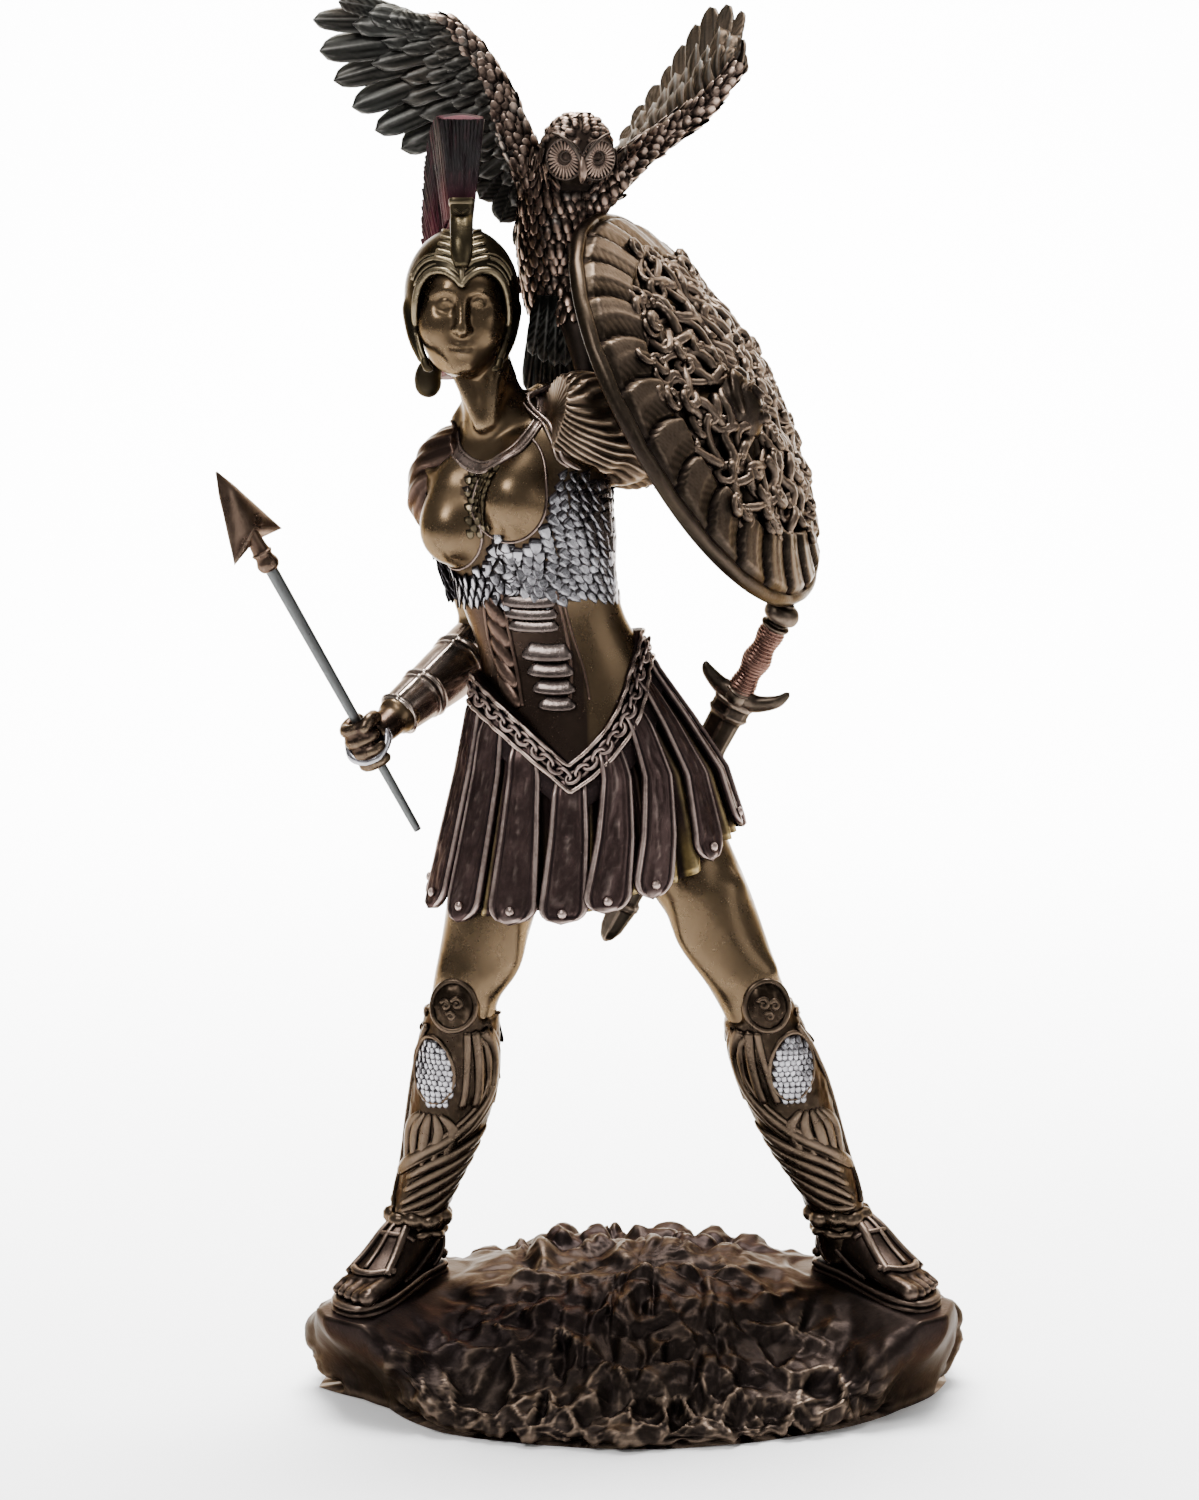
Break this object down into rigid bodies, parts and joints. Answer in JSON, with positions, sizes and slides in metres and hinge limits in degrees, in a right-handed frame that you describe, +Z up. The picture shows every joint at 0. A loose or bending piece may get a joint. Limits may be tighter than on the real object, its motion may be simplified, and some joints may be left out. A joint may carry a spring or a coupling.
{
  "type": "athena statue",
  "caption": "Bronze-finished figurine of a helmeted goddess in a wide stance, with spear, feathered shield, sheathed sword and owl, on an oval rocky plinth.",
  "frame": {"origin": "middle of the plinth's flat underside, under the middle of its width", "axes": "+Z up, -Y towards the viewer that the figure faces, +X towards the figure's left"},
  "size_m": [0.18, 0.1149, 0.3409],
  "materials": {
    "rock_base": "dark purple-brown patina over bronze-filled resin, rubbed to tan on its edges",
    "figure": "bronze-filled resin, burnished warm brown, with silver scale mail and purple-brown straps",
    "owl": "bronze-filled resin, copper body and grey-green flight feathers",
    "shield": "bronze-filled resin, grey-brown patina rubbed bright on the relief",
    "sword": "bronze-filled resin, coppery grip, dark guard and brown scabbard",
    "spear": "plain grey metal rod with a brown bronze head"
  },
  "bodies": {
    "root": {"rock_base": "rock_base", "figure": "figure", "owl": "owl", "shield": "shield", "sword": "sword", "spear": "spear"}
  },
  "joints": []
}
